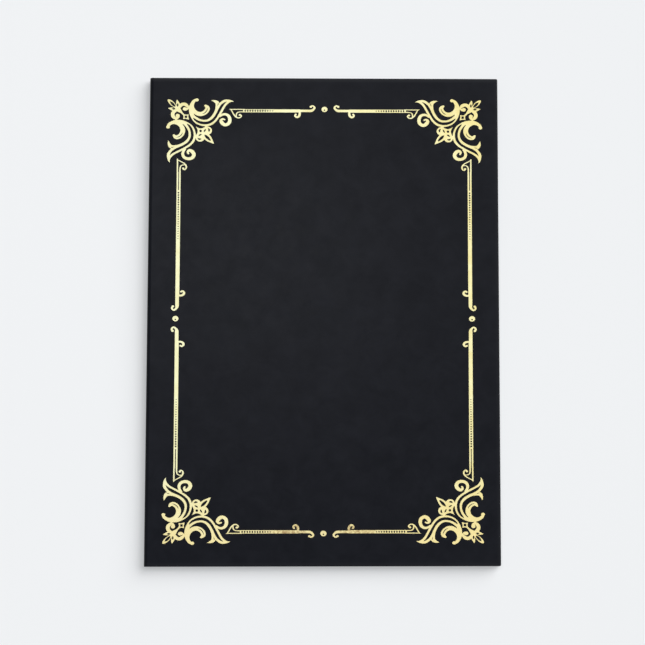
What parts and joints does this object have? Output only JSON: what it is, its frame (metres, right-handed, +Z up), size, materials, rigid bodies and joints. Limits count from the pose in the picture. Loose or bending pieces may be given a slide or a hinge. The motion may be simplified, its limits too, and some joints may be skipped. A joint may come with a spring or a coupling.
{
  "type": "certificate holder",
  "caption": "Hardback folder with a rounded spine and a foil border, lined inside, whose back panel holds one sheet under a ribbon at each corner.",
  "frame": {"origin": "under the middle of the closed cover, on the surface it lies on", "axes": "+X from the spine to the fore edge, +Y from the tail to the head of the cover, +Z up through the closed cover to its foiled front"},
  "size_m": [0.222, 0.31, 0.0076],
  "materials": {
    "covering": "matt black imitation leather with a very fine, slightly mottled grain",
    "greyboard": "raw grey board",
    "infill_card": "raw card",
    "lining_card": "ivory lining card with a watered pattern",
    "hinge_tape": "black book cloth",
    "ribbon": "black satin ribbon",
    "clear_film": "clear glossy film",
    "foil": "stamped pale gold foil"
  },
  "bodies": {
    "back_cover": {"back_board": "greyboard", "back_wrap": "covering", "back_infill": "infill_card", "back_hinge_tape": "hinge_tape", "back_liner": "lining_card", "ribbon_head_spine": "ribbon", "ribbon_head_fore": "ribbon", "ribbon_tail_spine": "ribbon", "ribbon_tail_fore": "ribbon", "clear_sheet": "clear_film", "back_crease": "covering", "back_crease_lining": "hinge_tape"},
    "spine": {"spine_strip": "greyboard", "spine_wrap": "covering", "spine_lining": "hinge_tape", "front_crease": "covering", "front_crease_lining": "hinge_tape"},
    "front_cover": {"front_board": "greyboard", "front_wrap": "covering", "front_infill": "infill_card", "front_hinge_tape": "hinge_tape", "front_liner": "lining_card", "foil_corner_head_spine": "foil", "foil_corner_head_fore": "foil", "foil_corner_tail_spine": "foil", "foil_corner_tail_fore": "foil", "foil_end_rule_head_spine": "foil", "foil_end_rule_head_fore": "foil", "foil_end_rule_tail_spine": "foil", "foil_end_rule_tail_fore": "foil", "foil_side_rule_head_spine": "foil", "foil_side_rule_head_fore": "foil", "foil_side_rule_tail_spine": "foil", "foil_side_rule_tail_fore": "foil", "foil_dot_head": "foil", "foil_dot_tail": "foil", "foil_dot_spine": "foil", "foil_dot_fore": "foil"}
  },
  "joints": [
    {"name": "spine_fold", "type": "hinge", "parent": "back_cover", "child": "spine", "pos_m": [-0.11048, 0, 0.00052], "axis": [0, -1, 0], "range_deg": [0, 90], "deforming": ["back_crease", "back_crease_lining"]},
    {"name": "cover_fold", "type": "hinge", "parent": "spine", "child": "front_cover", "pos_m": [-0.11048, 0, 0.00698], "axis": [0, -1, 0], "range_deg": [0, 90], "deforming": ["front_crease", "front_crease_lining"]}
  ]
}
